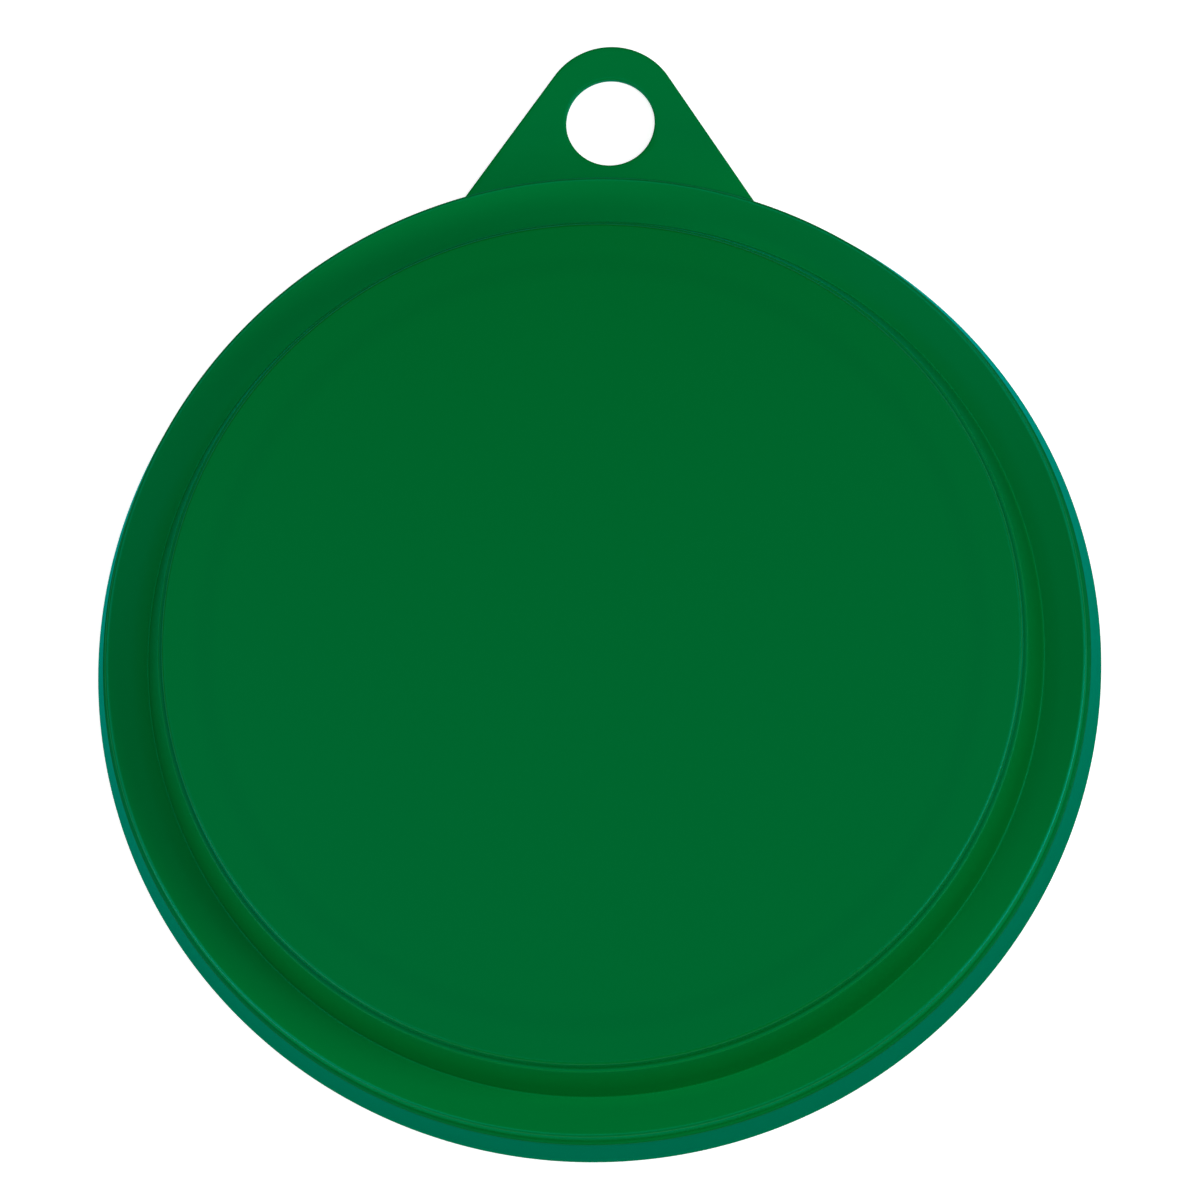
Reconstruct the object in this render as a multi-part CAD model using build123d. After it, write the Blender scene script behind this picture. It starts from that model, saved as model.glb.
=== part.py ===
"""Push-on lid for round cans of three sizes, with a pull tab, moulded in one piece."""

import os
from math import cos, radians, sin, tan

from build123d import *

# Cans the lid fits, in millimetres: the large seam, and how much smaller the other two are
large_seam_r = 43.2
middle_seam_step = 5.1
small_seam_step = 9.05
seam_height = 3.0
seam_width = 1.1
seat_gap = 0.05
snap = 0.25

# Skirt and rim
wall = 0.85
lead_height = 0.77
land_length = 0.8
skirt_flare = 0.95
skirt_foot_width = 1.15
crease_step = 0.35
rim_wall_height = 2.1
rim_fall_deg = 22.0

# Riser and top
riser_height = 5.05
riser_lean = 1.35
lip_over_seam = 0.78
shoulder_step = 0.43
shoulder_draft = 0.03
shoulder_height = 1.2

# Ring rib under the top
rib_lead = 0.35
rib_draft = 0.08

# Rounded corners
shoulder_round = 0.5
edge_round = 0.1
riser_foot_round = 0.3
riser_foot_inner_round = 0.8
rim_round = 0.38
foot_round = 0.25
inner_round = 0.3
rib_round = 0.2

# Pull tab
tab_thickness = 0.8
tab_reach = 12.6
tab_tip_r = 6.3
tab_half_angle = 34.4
tab_edge_round = 0.15
tab_hole_r = 4.05
tab_hole_shift = 0.9

# Slopes of rim and riser, and the wall as cut by a level and an upright line
rim_slope = tan(radians(rim_fall_deg))
riser_slope = riser_lean / riser_height
rim_depth = wall / cos(radians(rim_fall_deg))
riser_width = wall * (1 + riser_slope**2) ** 0.5

# Radii that follow from the cans and the wall
seat_r = large_seam_r + seat_gap
land_r = large_seam_r - snap
rim_wall_r = seat_r + wall
crease_r = rim_wall_r + crease_step
skirt_foot_r = crease_r + skirt_flare
lip_r = large_seam_r - middle_seam_step + lip_over_seam
shoulder_r = lip_r - shoulder_step
riser_foot_r = lip_r + riser_lean
small_seam_r = large_seam_r - small_seam_step
rib_inner_r = small_seam_r + seat_gap
rib_outer_r = rib_inner_r + wall
rib_land_r = small_seam_r - snap

# Heights, from the origin level with the middle of the snap bead's land
land_top = land_length / 2
foot = -land_top - lead_height
seam_top = land_top + seat_gap + seam_height


def rim_under(radius):
    """Height of the sloping rim's lower face, which the seam's inner corner touches."""
    return seam_top + rim_slope * (radius - large_seam_r + seam_width)


def riser_inner_r(height):
    """Radius of the riser's inner face at a height."""
    return riser_foot_r - riser_width - riser_slope * (height - riser_foot)


rim_corner = rim_under(rim_wall_r) + rim_depth
crease = rim_corner - rim_wall_height
skirt_slope = (skirt_foot_r - wall - seat_r) / (crease - foot)
riser_foot = rim_under(riser_foot_r) + rim_depth
lip = riser_foot + riser_height
top = lip + shoulder_height
ceiling = top - wall
rib_land_top = ceiling - seam_height - seat_gap
rib_land_foot = rib_land_top - land_length
rib_tip = rib_land_foot - rib_lead

# Where the inner faces meet: back of the snap bead, foot of the riser
bead_back_r = land_r + (seat_r - land_r + skirt_slope * (crease - land_top)) / (1 + skirt_slope)
foot_drop = rim_depth + rim_slope * riser_width
riser_inner_foot = riser_foot - foot_drop / (1 + rim_slope * riser_slope)

# Section of the lid as (radius, height, corner rounding), outer face first
corners = [
    (0, top, 0),
    (shoulder_r, top, shoulder_round),
    (shoulder_r + shoulder_draft, lip, 0),
    (lip_r, lip, edge_round),
    (riser_foot_r, riser_foot, riser_foot_round),
    (rim_wall_r, rim_corner, rim_round),
    (rim_wall_r, crease, 0),
    (crease_r, crease, edge_round),
    (skirt_foot_r, foot, foot_round),
    (skirt_foot_r - skirt_foot_width, foot, foot_round),
    (land_r, -land_top, 0),
    (land_r, land_top, 0),
    (bead_back_r, land_top + bead_back_r - land_r, inner_round),
    (seat_r, crease, 0),
    (seat_r, rim_under(seat_r), inner_round),
    (riser_inner_r(riser_inner_foot), riser_inner_foot, riser_foot_inner_round),
    (riser_inner_r(lip - wall), lip - wall, 0),
    (shoulder_r - wall, lip - wall, 0),
    (shoulder_r - wall, ceiling, inner_round),
    (rib_outer_r, ceiling, rib_round),
    (rib_outer_r - rib_draft, rib_tip, rib_round),
    (rib_land_r + rib_lead, rib_tip, rib_round),
    (rib_land_r, rib_land_foot, 0),
    (rib_land_r, rib_land_top, 0),
    (rib_inner_r, rib_land_top + snap + seat_gap, 0),
    (rib_inner_r, ceiling, rib_round),
    (0, ceiling, 0),
]
section = FilletPolyline(
    *[(radius, height) for radius, height, rounding in corners],
    radius=[rounding for radius, height, rounding in corners],
    close=True,
)
shell = revolve(make_face(Plane.XZ * section), axis=Axis.Z)

# Pull tab: a flat tongue whose straight sides run out of the round tip into the skirt
tab_tip_y = skirt_foot_r + tab_reach - tab_tip_r
tab_hole_y = tab_tip_y - tab_hole_shift
tab_root_r = skirt_foot_r - skirt_foot_width / 2
side_x = tab_tip_r * cos(radians(tab_half_angle))
side_y = tab_tip_y + tab_tip_r * sin(radians(tab_half_angle))
side_length = 3 * tab_reach
root_x = side_x + side_length * sin(radians(tab_half_angle))
root_y = side_y - side_length * cos(radians(tab_half_angle))
tongue = Polygon(
    (side_x, side_y),
    (-side_x, side_y),
    (-root_x, root_y),
    (root_x, root_y),
    align=None,
)
outline = tongue + Pos(0, tab_tip_y) * Circle(tab_tip_r)
outline -= Circle(tab_root_r)
outline -= Pos(0, tab_hole_y) * Circle(tab_hole_r)
tab = extrude(Pos(0, 0, foot) * outline, amount=tab_thickness)
free_edges = tab.edges().filter_by(
    lambda edge: abs(edge.tangent_at(0.5).Z) < 0.5
    and abs(edge.position_at(0.5).Z - foot) in (0, tab_thickness)
    and edge.position_at(0.5).Y > tab_root_r
)
tab = fillet(free_edges, tab_edge_round)

# One moulded piece
lid = shell + tab
lid.label = "can_lid"

os.makedirs("parts", exist_ok=True)
export_step(lid, "parts/can_lid.step")
print("volume_mm3", round(lid.volume, 1), "valid", lid.is_valid, "box", lid.bounding_box())
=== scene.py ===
import math

import bpy
import numpy as np
from mathutils import Matrix, Vector


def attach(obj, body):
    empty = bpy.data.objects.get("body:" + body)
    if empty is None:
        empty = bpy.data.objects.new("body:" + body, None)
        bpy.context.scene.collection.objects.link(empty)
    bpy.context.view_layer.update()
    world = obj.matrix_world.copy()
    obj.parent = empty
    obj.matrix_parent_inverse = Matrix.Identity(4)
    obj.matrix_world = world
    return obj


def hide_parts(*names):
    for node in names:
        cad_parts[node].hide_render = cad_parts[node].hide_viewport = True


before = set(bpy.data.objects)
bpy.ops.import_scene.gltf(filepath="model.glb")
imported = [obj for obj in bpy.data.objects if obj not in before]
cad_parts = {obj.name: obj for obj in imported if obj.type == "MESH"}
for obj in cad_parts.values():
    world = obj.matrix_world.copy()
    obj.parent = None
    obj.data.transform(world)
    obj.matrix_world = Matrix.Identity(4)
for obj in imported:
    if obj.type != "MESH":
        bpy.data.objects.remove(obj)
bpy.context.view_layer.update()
MM = 0.001

# Sizes of the moulding in millimetres, heights counted from the middle of the snap bead
SEAM_R, SEAM_HEIGHT, SEAM_WIDTH = 43.2, 3.0, 1.1
SEAT_GAP, SNAP, WALL = 0.05, 0.25, 0.85
LAND, LEAD = 0.8, 0.77
SKIRT_FLARE, FOOT_WIDTH, CREASE_STEP = 0.95, 1.15, 0.35
RIM_WALL_HEIGHT, RIM_FALL = 2.1, math.radians(22)
LIP_R, RISER_HEIGHT, RISER_LEAN = 38.88, 5.05, 1.35
SHOULDER_STEP, SHOULDER_DRAFT, SHOULDER_HEIGHT = 0.43, 0.03, 1.2
RIB_SEAM_R, RIB_LEAD, RIB_DRAFT = 34.15, 0.35, 0.08
TAB_THICKNESS, TAB_REACH, TAB_TIP_R, TAB_HALF_ANGLE = 0.8, 12.6, 6.3, math.radians(34.4)
TAB_EDGE, HOLE_R, HOLE_SHIFT = 0.15, 4.05, 0.9

# Rounded corners in millimetres
SHOULDER_ROUND, RISER_FOOT_ROUND, RIM_ROUND = 0.24, 0.12, 0.24
EDGE_ROUND, FOOT_ROUND = 0.1, 0.25
INNER_ROUND, RISER_INNER_ROUND, RIB_ROUND = 0.3, 0.8, 0.2

# Mesh: points on each rounded corner and round the axis, longest straight, flat strip at its ends
CORNER_POINTS, AXIS_POINTS = 7, 360
STRAIGHT_GAP, STRAIGHT_EDGE = 4.0, 0.06

# Radii and heights that follow
SEAT_R = SEAM_R + SEAT_GAP
BEAD_R = SEAM_R - SNAP
RIM_WALL_R = SEAT_R + WALL
CREASE_R = RIM_WALL_R + CREASE_STEP
FOOT_R = CREASE_R + SKIRT_FLARE
SHOULDER_R = LIP_R - SHOULDER_STEP
RISER_FOOT_R = LIP_R + RISER_LEAN
RIB_INNER_R = RIB_SEAM_R + SEAT_GAP
RIB_BEAD_R = RIB_SEAM_R - SNAP
FOOT = -LAND / 2 - LEAD
SEAM_TOP = LAND / 2 + SEAT_GAP + SEAM_HEIGHT
RIM_SLOPE, RISER_SLOPE = math.tan(RIM_FALL), RISER_LEAN / RISER_HEIGHT
RIM_DEPTH = WALL / math.cos(RIM_FALL)
RISER_WIDTH = WALL * math.hypot(1, RISER_SLOPE)


def rim_under(radius):
    """Height of the sloping rim's lower face: the seam's top plus slope times the way out from it."""
    return SEAM_TOP + RIM_SLOPE * (radius - SEAM_R + SEAM_WIDTH)


RIM_CORNER = rim_under(RIM_WALL_R) + RIM_DEPTH
CREASE = RIM_CORNER - RIM_WALL_HEIGHT
RISER_FOOT = rim_under(RISER_FOOT_R) + RIM_DEPTH
LIP = RISER_FOOT + RISER_HEIGHT
TOP = LIP + SHOULDER_HEIGHT
CEILING = TOP - WALL
RIB_LAND_TOP = CEILING - SEAM_HEIGHT - SEAT_GAP
RIB_TIP = RIB_LAND_TOP - LAND - RIB_LEAD


def riser_inner_r(height):
    """Radius of the riser's inner face: its foot less the wall, less the lean times the height."""
    return RISER_FOOT_R - RISER_WIDTH - RISER_SLOPE * (height - RISER_FOOT)


def rounded(corners, steps):
    """Section with rounded corners, as whole arrays.

    At each corner the arc starts and ends a tangent length t = rounding / tan(half angle) from
    it. A point of the arc is the start turned about the centre, which lies on the bisector at
    rounding / sin(half angle). A corner with no rounding keeps its one point.
    """
    corners = np.array(corners, float)
    point, rounding = corners[:, :2], corners[:, 2]
    before = np.roll(point, 1, 0) - point
    after = np.roll(point, -1, 0) - point
    before /= np.linalg.norm(before, axis=1)[:, None]
    after /= np.linalg.norm(after, axis=1)[:, None]
    half = 0.5 * np.arccos(np.clip((before * after).sum(1), -1, 1))
    bisector = before + after
    bisector /= np.linalg.norm(bisector, axis=1)[:, None] + 1e-12
    centre = point + bisector * (rounding / np.sin(half))[:, None]
    start = point + before * (rounding / np.tan(half))[:, None] - centre
    side = np.sign(before[:, 0] * after[:, 1] - before[:, 1] * after[:, 0])
    turn = -side[:, None] * (math.pi - 2 * half[:, None]) * np.linspace(0, 1, steps)
    x = start[:, :1] * np.cos(turn) - start[:, 1:] * np.sin(turn)
    y = start[:, :1] * np.sin(turn) + start[:, 1:] * np.cos(turn)
    arcs = centre[:, None] + np.stack([x, y], 2)
    keep = (rounding[:, None] > 0) | (np.arange(steps) == 0)
    return arcs[keep]


def filled(path, gap, edge):
    """The same section with more points, as whole arrays.

    A straight longer than three times `edge` gets one point that far from each of its ends, which
    keep the shading flat, and evenly between them as many as keep the steps under `gap`.
    """
    way = path[1:] - path[:-1]
    length = np.linalg.norm(way, axis=1)
    added = np.where(length > 3 * edge, 2 + ((length - 2 * edge) / gap).astype(int), 0)
    straight = np.repeat(np.arange(len(way)), added + 1)
    number = np.arange(len(straight)) - (np.cumsum(added + 1) - added - 1)[straight]
    step = (length - 2 * edge) / np.maximum(added - 1, 1)
    along = np.where(number > 0, edge + (number - 1) * step[straight], 0) / length[straight]
    return np.concatenate([path[straight] + along[:, None] * way[straight], path[-1:]])


def linear(code):
    """Linear colour of an sRGB hex code."""
    value = np.array([int(code[i : i + 2], 16) / 255 for i in (1, 3, 5)])
    value = np.where(value <= 0.04045, value / 12.92, ((value + 0.055) / 1.055) ** 2.4)
    return (*value.tolist(), 1.0)


def add(tree, kind, links=(), **settings):
    """Adds a node, sets its properties or sockets by name, and links (from node, its output, input)."""
    node = tree.nodes.new(kind)
    for name, value in settings.items():
        if hasattr(node, name):
            setattr(node, name, value)
        else:
            node.inputs[name.replace("_", " ")].default_value = value
    for source, output, target in links:
        tree.links.new(source.outputs[output], node.inputs[target])
    return node


def mesh_object(name, points, faces, material, smooth_angle=35):
    """Object with its place in its mesh, smooth but for edges sharper than the angle in degrees."""
    mesh = bpy.data.meshes.new(name)
    mesh.from_pydata((points * MM).tolist(), [], faces)
    mesh.validate()
    mesh.polygons.foreach_set("use_smooth", np.ones(len(mesh.polygons), bool))
    mesh.set_sharp_from_angle(angle=math.radians(smooth_angle))
    mesh.materials.append(material)
    mesh.update()
    made = bpy.data.objects.new(name, mesh)
    bpy.context.scene.collection.objects.link(made)
    return made


def grid_faces(rows, columns, wrap_rows=False):
    """Quads of a grid whose columns close on themselves, and its rows too if asked."""
    row = np.arange(rows if wrap_rows else rows - 1)[:, None]
    column = np.arange(columns)[None, :]
    after, beside = (row + 1) % rows, (column + 1) % columns
    corners = [
        row * columns + column,
        after * columns + column,
        after * columns + beside,
        row * columns + beside,
    ]
    return np.stack([np.broadcast_to(c, (len(row), columns)) for c in corners], 2).reshape(-1, 4)


def turned(name, path, segments, material):
    """Surface of revolution P(a, s) = (r(s) cos a, r(s) sin a, z(s)) that starts and ends on the axis."""
    angle = np.linspace(0, 2 * math.pi, segments, endpoint=False)
    ring = path[1:-1]
    x = ring[:, :1] * np.cos(angle)
    y = ring[:, :1] * np.sin(angle)
    z = np.broadcast_to(ring[:, 1:], x.shape)
    points = np.stack([x, y, z], 2).reshape(-1, 3)
    first, last = len(points), len(points) + 1
    points = np.concatenate([points, [[0, 0, path[0, 1]], [0, 0, path[-1, 1]]]])
    column = np.arange(segments)
    beside = (column + 1) % segments
    base = (len(ring) - 1) * segments
    top = np.stack([np.full(segments, first), column, beside], 1)
    bottom = np.stack([np.full(segments, last), base + beside, base + column], 1)
    faces = grid_faces(len(ring), segments).tolist() + top.tolist() + bottom.tolist()
    return mesh_object(name, points, faces, material)


def tongue(name, material, segments, bend_points=5, flat_points=6, off_axis=1e-4, lift=0.004):
    """Flat tongue round a hole, as a ring grid P(a, s).

    For each angle a round the hole's centre, H(a) is the hole's edge and O(a) the outline: the
    tip's arc, a straight side that touches it, or the root inside the skirt, whichever the ray
    meets first. The section s runs from H out to O over the top, down the rounded edge, back
    below and up inside the hole. The angles start a hair off the x axis, and the lower face lies
    a hair above the skirt's foot, with which it would otherwise share a plane.
    """
    tip_y = FOOT_R + TAB_REACH - TAB_TIP_R
    hole_y = tip_y - HOLE_SHIFT
    a = np.linspace(0, 2 * math.pi, segments, endpoint=False) + off_axis
    ray = np.stack([np.cos(a), np.sin(a)], 1)
    # Ray against the tip's arc, whose centre lies up the y axis from the hole's centre
    up = HOLE_SHIFT * ray[:, 1]
    tip = up + np.sqrt(up**2 - HOLE_SHIFT**2 + TAB_TIP_R**2)
    # Ray against the two sides, each a line with an outward normal at the tip's radius
    across = np.abs(ray[:, 0]) * math.cos(TAB_HALF_ANGLE) + ray[:, 1] * math.sin(TAB_HALF_ANGLE)
    reach = TAB_TIP_R + HOLE_SHIFT * math.sin(TAB_HALF_ANGLE)
    side = np.where(across > 1e-6, reach / np.maximum(across, 1e-6), np.inf)
    # Ray against the root, a circle on the lid's axis in the middle of the skirt's wall
    root_r = FOOT_R - FOOT_WIDTH / 2
    down = -hole_y * ray[:, 1]
    inside = down**2 - hole_y**2 + root_r**2
    root = np.where((inside > 0) & (down > 0), down - np.sqrt(np.maximum(inside, 0)), np.inf)
    on_tip = hole_y + tip * ray[:, 1] > tip_y + TAB_TIP_R * math.sin(TAB_HALF_ANGLE)
    outer = np.where(on_tip, tip, np.minimum(side, root))
    # Section: the flat faces, and edges rounded by a quarter turn
    bend = np.linspace(0, math.pi / 2, bend_points)
    edge_in, edge_down = TAB_EDGE * (1 - np.sin(bend)), TAB_EDGE * (1 - np.cos(bend))
    low, high = FOOT + lift, FOOT + TAB_THICKNESS
    flat_in = HOLE_R + TAB_EDGE
    span = (outer - TAB_EDGE)[:, None] - flat_in
    over = flat_in + span * np.linspace(0.06, 0.94, flat_points)
    rim_out = outer[:, None] - edge_in
    rim_in = np.broadcast_to(HOLE_R + edge_in, (segments, bend_points))
    radius = np.concatenate([over, rim_out, rim_out[:, ::-1], over[:, ::-1], rim_in, rim_in[:, ::-1]], 1)
    level = np.concatenate([
        np.full(flat_points, high),
        high - edge_down,
        low + edge_down[::-1],
        np.full(flat_points, low),
        low + edge_down,
        high - edge_down[::-1],
    ])
    x = radius * ray[:, :1]
    y = hole_y + radius * ray[:, 1:]
    z = np.broadcast_to(level, radius.shape)
    points = np.stack([x, y, z], 2).transpose(1, 0, 2).reshape(-1, 3)
    return mesh_object(name, points, grid_faces(len(level), segments, True).tolist(), material)


# Greens of the plastic, from the flat top outwards: over the ring rib, at the shoulder, at the lip, on the
# riser, in the nook at its foot, on the rim, its wall and the skirt, and on the tab. Most of them carry
# painted light and shade: painted shade over the ring rib and on the skirt, painted light at the lip, in the
# nook, on the rim and its wall, at the tab's root and on the tab
TOP_GREEN, RIB_PAINTED_SHADE_GREEN, EDGE_GREEN = "#006319", "#006118", "#00631B"
LIP_PAINTED_LIGHT_GREEN, RISER_GREEN, NOOK_PAINTED_LIGHT_GREEN = "#006D27", "#00651F", "#007E36"
RIM_PAINTED_LIGHT_GREEN, WALL_PAINTED_LIGHT_GREEN, SKIRT_PAINTED_SHADE_GREEN = "#007934", "#00742C", "#005620"
TAB_ROOT_PAINTED_LIGHT_GREEN, TAB_PAINTED_LIGHT_GREEN = "#007B2B", "#006F2B"

# Extra polish on the crests of the shoulder and the rim, as a share of a full mirror
SHOULDER_POLISH, RIM_POLISH = 0.017, 0.05

# Colour, with its painted light and shade, and extra polish by the radius in millimetres, blended from one
# to the next
RIB_R = RIB_INNER_R + WALL / 2
BANDS = (
    (RIB_R - 1.4, TOP_GREEN, 0),
    # Painted shade: darker over the ring rib, where less light comes through the plastic
    (RIB_R - 0.3, RIB_PAINTED_SHADE_GREEN, 0),
    (RIB_R + 0.3, RIB_PAINTED_SHADE_GREEN, 0),
    (RIB_R + 1.4, TOP_GREEN, 0),
    (SHOULDER_R - 0.3, TOP_GREEN, 0),
    (SHOULDER_R - 0.15, TOP_GREEN, SHOULDER_POLISH),
    (SHOULDER_R - 0.02, EDGE_GREEN, SHOULDER_POLISH),
    (SHOULDER_R + 0.15, EDGE_GREEN, 0),
    # Painted light: a paler line at the lip
    (LIP_R - 0.15, LIP_PAINTED_LIGHT_GREEN, 0),
    (LIP_R, LIP_PAINTED_LIGHT_GREEN, 0),
    (LIP_R + 0.1, RISER_GREEN, 0),
    (RISER_FOOT_R, RISER_GREEN, 0),
    # Painted light: paler in the nook at the riser's foot, against the shade that falls there
    (RISER_FOOT_R + 0.15, NOOK_PAINTED_LIGHT_GREEN, 0),
    # Painted light: the rim paler than the top, against the shade the riser throws on it
    (RISER_FOOT_R + 1.2, RIM_PAINTED_LIGHT_GREEN, 0),
    (RIM_WALL_R - 0.3, RIM_PAINTED_LIGHT_GREEN, 0),
    (RIM_WALL_R - 0.16, EDGE_GREEN, RIM_POLISH),
    (RIM_WALL_R - 0.09, EDGE_GREEN, RIM_POLISH),
    (RIM_WALL_R - 0.02, EDGE_GREEN, 0),
    # Painted light: paler on the rim's upright wall, against the shade there
    (RIM_WALL_R, WALL_PAINTED_LIGHT_GREEN, 0),
    (CREASE_R - 0.1, WALL_PAINTED_LIGHT_GREEN, 0),
    # Painted shade: darker on the skirt, against the light the floor throws on it
    (CREASE_R, SKIRT_PAINTED_SHADE_GREEN, 0),
    (FOOT_R - 0.2, SKIRT_PAINTED_SHADE_GREEN, 0),
    # Painted light: paler at the tab's root, against the shadow of the lid
    (FOOT_R + 0.2, TAB_ROOT_PAINTED_LIGHT_GREEN, 0),
    # Painted light: the tab paler than the top
    (FOOT_R + 5, TAB_PAINTED_LIGHT_GREEN, 0),
)

# Share of the glancing gloss that is kept, by the radius in millimetres: less on the rim's wall
GLANCE_BANDS = (
    (RIM_WALL_R - 0.1, 1),
    (RIM_WALL_R - 0.04, 0.3),
    (CREASE_R - 0.1, 0.3),
    (CREASE_R + 0.05, 1),
)
BAND_START, BAND_END = 33.0, 51.0

# Gloss: straight on, as Blender's specular level; glancing, as a share of Fresnel's; and the
# values of Fresnel between which the one gives way to the other
PLAIN_GLOSS, GLANCING_GLOSS = 0.2, 0.56
GLANCE_START, GLANCE_FULL = 0.045, 0.1
PLASTIC_IOR, SATIN = 1.51, 0.3
# The plastic throws back no red, and neither does its gloss
PLAIN_TINT, GLANCING_TINT = (0.0, 1.0, 0.9, 1.0), (0.0, 1.0, 0.93, 1.0)
GRAIN_WIDTH, GRAIN_DEPTH = 0.25 * MM, 0.02 * MM


def moulded_polyethylene():
    """Green low-density polyethylene, moulded in a finely spark-eroded tool: deep colour with
    a satin gloss and a hint of grain. Its colour carries painted light and shade by radius: painted light
    on the lip, in the nook at the riser's foot, over the rim and its wall, and on the tab and its root, and
    painted shade over the ring rib and on the skirt. The crests of the edges are rubbed smooth and shine
    more."""
    material = bpy.data.materials.new("moulded_polyethylene")
    material.use_nodes = True
    tree = material.node_tree
    shader = tree.nodes["Principled BSDF"]
    shader.inputs["Roughness"].default_value = SATIN
    shader.inputs["IOR"].default_value = PLASTIC_IOR
    shader.inputs["Specular Tint"].default_value = PLAIN_TINT

    # Distance from the lid's axis, as a place between the two ends of the bands
    place = add(tree, "ShaderNodeTexCoord")
    flat = add(tree, "ShaderNodeVectorMath", [(place, "Object", 0)], operation="MULTIPLY")
    flat.inputs[1].default_value = (1, 1, 0)
    radius = add(tree, "ShaderNodeVectorMath", [(flat, 0, 0)], operation="LENGTH")
    across = add(tree, "ShaderNodeMapRange", [(radius, "Value", "Value")])
    across.inputs["From Min"].default_value = BAND_START * MM
    across.inputs["From Max"].default_value = BAND_END * MM

    # Bands of colour with painted light and shade, with the extra polish as their alpha, and bands of
    # glancing gloss
    colours = add(tree, "ShaderNodeValToRGB", [(across, 0, 0)])
    glances = add(tree, "ShaderNodeValToRGB", [(across, 0, 0)])
    colour_stops = [(where, (*linear(code)[:3], polish)) for where, code, polish in BANDS]
    glance_stops = [(where, (kept, kept, kept, 1)) for where, kept in GLANCE_BANDS]
    for ramp, stops in ((colours.color_ramp, colour_stops), (glances.color_ramp, glance_stops)):
        while len(ramp.elements) < len(stops):
            ramp.elements.new(1)
        for element, (where, colour) in zip(ramp.elements, stops):
            element.position = (where - BAND_START) / (BAND_END - BAND_START)
            element.color = colour
    tree.links.new(colours.outputs["Color"], shader.inputs["Base Color"])

    # Spark-eroded grain, drawn as coarse as it needs to be to show
    grain = add(tree, "ShaderNodeTexNoise", [(place, "Object", "Vector")], Scale=1 / GRAIN_WIDTH, Detail=2.0)
    bump = add(tree, "ShaderNodeBump", [(grain, 0, "Height")], Strength=0.05, Distance=GRAIN_DEPTH)
    tree.links.new(bump.outputs[0], shader.inputs["Normal"])

    # Toward glancing angles the plain gloss, which turns white there, gives way to a green-tinted
    # one, so that the skirt and the rims stay a clean teal
    mirror = add(tree, "ShaderNodeFresnel", [(bump, 0, "Normal")], IOR=PLASTIC_IOR)
    glance = add(tree, "ShaderNodeMapRange", [(mirror, 0, "Value")])
    glance.inputs["From Min"].default_value = GLANCE_START
    glance.inputs["From Max"].default_value = GLANCE_FULL
    plain = add(tree, "ShaderNodeMath", [(glance, 0, 0)], operation="MULTIPLY_ADD")
    plain.inputs[1].default_value = -PLAIN_GLOSS
    plain.inputs[2].default_value = PLAIN_GLOSS
    tree.links.new(plain.outputs[0], shader.inputs["Specular IOR Level"])
    tinted = add(tree, "ShaderNodeMath", [(mirror, 0, 0), (glance, 0, 1)], operation="MULTIPLY")

    # The rim's upright wall is duller, and the crests get their extra polish
    kept = add(tree, "ShaderNodeMath", [(tinted, 0, 0), (glances, "Color", 1)], operation="MULTIPLY")
    share = add(tree, "ShaderNodeMath", [(kept, 0, 0), (colours, "Alpha", 2)], operation="MULTIPLY_ADD")
    share.inputs[1].default_value = GLANCING_GLOSS
    gloss = add(tree, "ShaderNodeBsdfAnisotropic", [(bump, 0, "Normal")], Roughness=SATIN)
    gloss.inputs["Color"].default_value = GLANCING_TINT
    both = add(tree, "ShaderNodeMixShader", [(share, 0, 0), (shader, 0, 1), (gloss, 0, 2)])
    tree.links.new(both.outputs[0], tree.nodes["Material Output"].inputs["Surface"])
    return material


# Where the inner faces meet: back of the snap bead, foot of the riser
skirt_slope = (FOOT_R - WALL - SEAT_R) / (CREASE - FOOT)
back_r = BEAD_R + (SEAT_R - BEAD_R + skirt_slope * (CREASE - LAND / 2)) / (1 + skirt_slope)
riser_inner_foot = RISER_FOOT - (RIM_DEPTH + RIM_SLOPE * RISER_WIDTH) / (1 + RIM_SLOPE * RISER_SLOPE)

# Section of the lid as (radius, height, rounding), outer face first
corners = [
    (0, TOP, 0),
    (SHOULDER_R, TOP, SHOULDER_ROUND),
    (SHOULDER_R + SHOULDER_DRAFT, LIP, 0),
    (LIP_R, LIP, EDGE_ROUND),
    (RISER_FOOT_R, RISER_FOOT, RISER_FOOT_ROUND),
    (RIM_WALL_R, RIM_CORNER, RIM_ROUND),
    (RIM_WALL_R, CREASE, 0),
    (CREASE_R, CREASE, EDGE_ROUND),
    (FOOT_R, FOOT, FOOT_ROUND),
    (FOOT_R - FOOT_WIDTH, FOOT, FOOT_ROUND),
    (BEAD_R, -LAND / 2, 0),
    (BEAD_R, LAND / 2, 0),
    (back_r, LAND / 2 + back_r - BEAD_R, INNER_ROUND),
    (SEAT_R, CREASE, 0),
    (SEAT_R, rim_under(SEAT_R), INNER_ROUND),
    (riser_inner_r(riser_inner_foot), riser_inner_foot, RISER_INNER_ROUND),
    (riser_inner_r(LIP - WALL), LIP - WALL, 0),
    (SHOULDER_R - WALL, LIP - WALL, 0),
    (SHOULDER_R - WALL, CEILING, INNER_ROUND),
    (RIB_INNER_R + WALL, CEILING, RIB_ROUND),
    (RIB_INNER_R + WALL - RIB_DRAFT, RIB_TIP, RIB_ROUND),
    (RIB_BEAD_R + RIB_LEAD, RIB_TIP, RIB_ROUND),
    (RIB_BEAD_R, RIB_LAND_TOP - LAND, 0),
    (RIB_BEAD_R, RIB_LAND_TOP, 0),
    (RIB_INNER_R, RIB_LAND_TOP + SNAP + SEAT_GAP, 0),
    (RIB_INNER_R, CEILING, RIB_ROUND),
    (0, CEILING, 0),
]
plastic = moulded_polyethylene()
section = filled(rounded(corners, CORNER_POINTS), STRAIGHT_GAP, STRAIGHT_EDGE)
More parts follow.
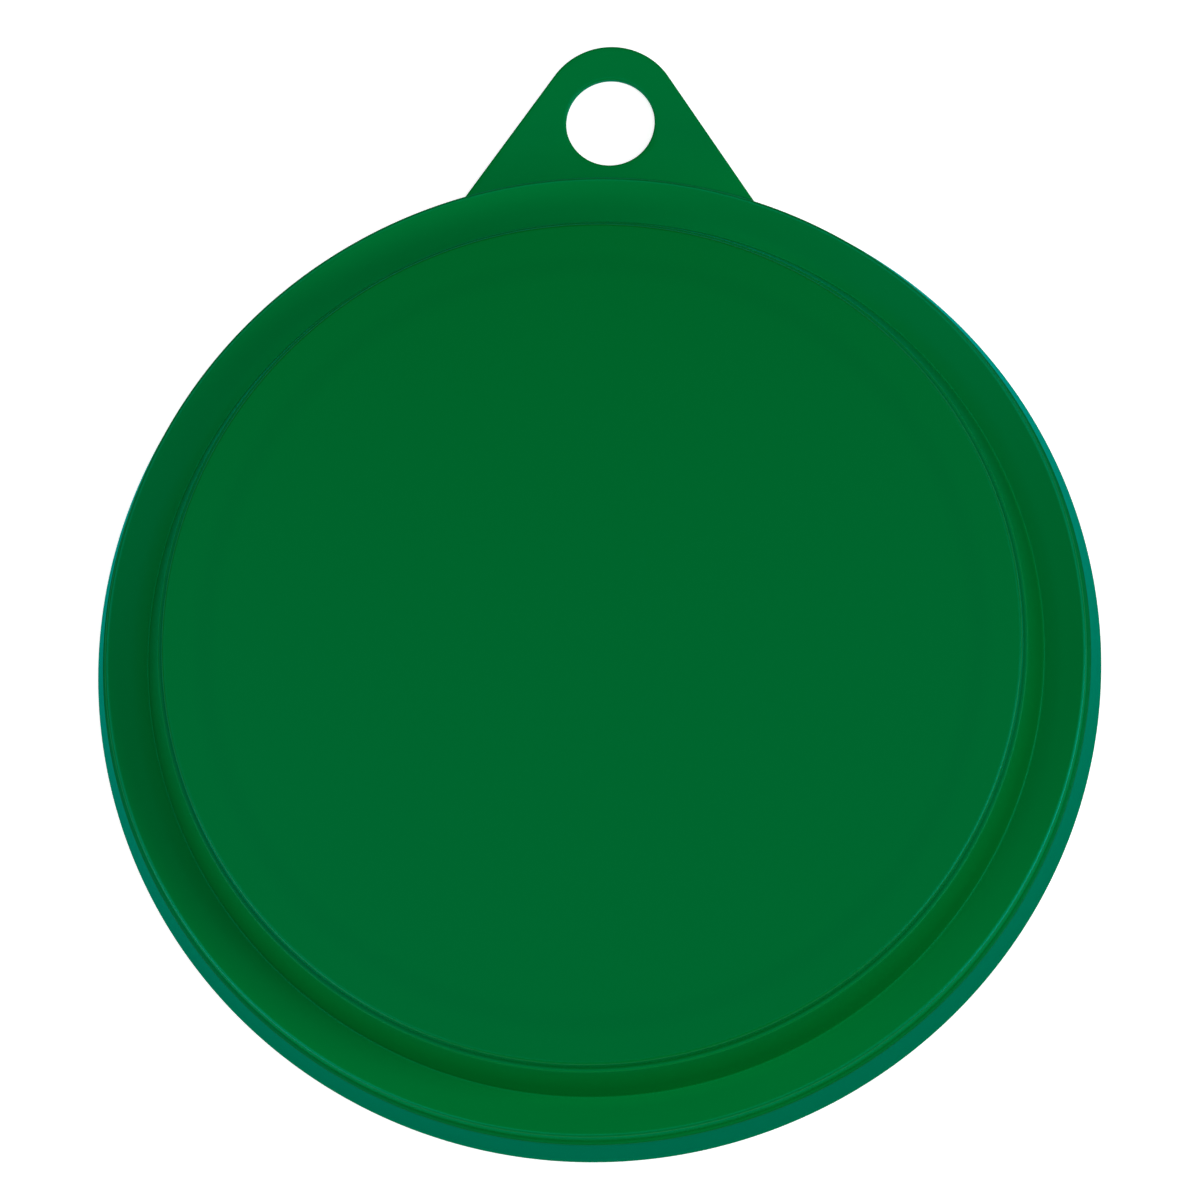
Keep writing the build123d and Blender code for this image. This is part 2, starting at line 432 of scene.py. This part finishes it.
shell = turned("lid_shell", section, AXIS_POINTS, plastic)
tab = tongue("pull_tab", plastic, AXIS_POINTS)
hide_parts("can_lid")
for piece in (shell, tab):
    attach(piece, "root")

# Board under the lid: half its width in millimetres, and how much brighter the camera sees it
BOARD_HALF, BOARD_LIFT = 3000.0, 0.6


def white_board():
    """Matt white card that shows white to the camera where no shadow falls on it."""
    material = bpy.data.materials.new("white_board")
    material.use_nodes = True
    tree = material.node_tree
    shader = tree.nodes["Principled BSDF"]
    shader.inputs["Base Color"].default_value = linear("#F2F2F2")
    shader.inputs["Roughness"].default_value = 0.9
    shader.inputs["Specular IOR Level"].default_value = 0.0
    shader.inputs["Emission Color"].default_value = (1, 1, 1, 1)
    rays = add(tree, "ShaderNodeLightPath")
    lift = add(tree, "ShaderNodeMath", [(rays, "Is Camera Ray", 0)], operation="MULTIPLY")
    lift.inputs[1].default_value = BOARD_LIFT
    tree.links.new(lift.outputs[0], shader.inputs["Emission Strength"])
    return material


board_corners = np.array([[-1, -1, 0], [1, -1, 0], [1, 1, 0], [-1, 1, 0]]) * BOARD_HALF + [0, 0, FOOT]
floor = mesh_object("floor", board_corners, [[0, 1, 2, 3]], white_board())

# Room: white to the camera, and nearly dark to the lid, which the soft boxes light
ROOM_LIGHT = 0.05
world = bpy.data.worlds.new("room")
bpy.context.scene.world = world
world.use_nodes = True
room = world.node_tree
room.nodes.clear()
rays = add(room, "ShaderNodeLightPath")
strength = add(room, "ShaderNodeMapRange", [(rays, "Is Camera Ray", "Value")])
strength.inputs["To Min"].default_value = ROOM_LIGHT
strength.inputs["To Max"].default_value = 1.0
air = add(room, "ShaderNodeBackground", [(strength, 0, "Strength")], Color=(1, 1, 1, 1))
add(room, "ShaderNodeOutputWorld", [(air, 0, "Surface")])

# Distance of every soft box from the lid, in metres
BOX_DISTANCE = 1.0


def softbox(name, azimuth, elevation, width, height, radiance):
    """Area lamp on a sphere round the lid, facing it; azimuth 0 is toward +X. Its power is the
    wanted radiance times pi and its area."""
    a, e = math.radians(azimuth), math.radians(elevation)
    outward = Vector((math.cos(a) * math.cos(e), math.sin(a) * math.cos(e), math.sin(e)))
    lamp = bpy.data.lights.new(name, "AREA")
    lamp.shape = "RECTANGLE"
    lamp.size, lamp.size_y = width, height
    lamp.energy = radiance * math.pi * width * height
    made = bpy.data.objects.new(name, lamp)
    made.location = outward * BOX_DISTANCE
    made.rotation_mode = "QUATERNION"
    made.rotation_quaternion = outward.to_track_quat("Z", "Y")
    bpy.context.scene.collection.objects.link(made)


# Name, azimuth and elevation in degrees, width and height in metres, radiance
for lamp in (
    ("right_box", -12, 32, 0.75, 0.4, 6.3),
    ("left_box", 213, 20, 0.8, 0.5, 3.5),
    ("front_box", 268, 34, 1.6, 0.8, 0.4),
    ("back_right_box", 45, 32, 0.4, 0.4, 1.2),
    ("upper_right_box", 30, 72, 0.5, 0.45, 2.5),
    ("upper_left_box", 180, 72, 0.5, 0.45, 2.8),
):
    softbox(*lamp)

# Camera at the photograph's viewing angle: its place in millimetres, its right and its up, and
# its focal length and the frame's side in pixels
CAMERA_PLACE = Vector((55.569, -186.778, 833.697))
CAMERA_RIGHT, CAMERA_UP = Vector((0.99787, 0.02225, -0.06126)), Vector((-0.00787, 0.97417, 0.22568))
FOCAL_LENGTH, FRAME_SIDE = 9500, 1200
camera_data = bpy.data.cameras.new("camera")
camera_data.sensor_width = 36.0
camera_data.lens = camera_data.sensor_width * FOCAL_LENGTH / FRAME_SIDE
camera_data.clip_start, camera_data.clip_end = 0.05, 20.0
camera = bpy.data.objects.new("camera", camera_data)
bpy.context.scene.collection.objects.link(camera)
axes = Matrix((CAMERA_RIGHT, CAMERA_UP, CAMERA_RIGHT.cross(CAMERA_UP))).transposed()
camera.matrix_world = Matrix.Translation(CAMERA_PLACE * MM) @ axes.to_4x4()
bpy.context.scene.camera = camera
bpy.context.scene.view_settings.view_transform = "Standard"
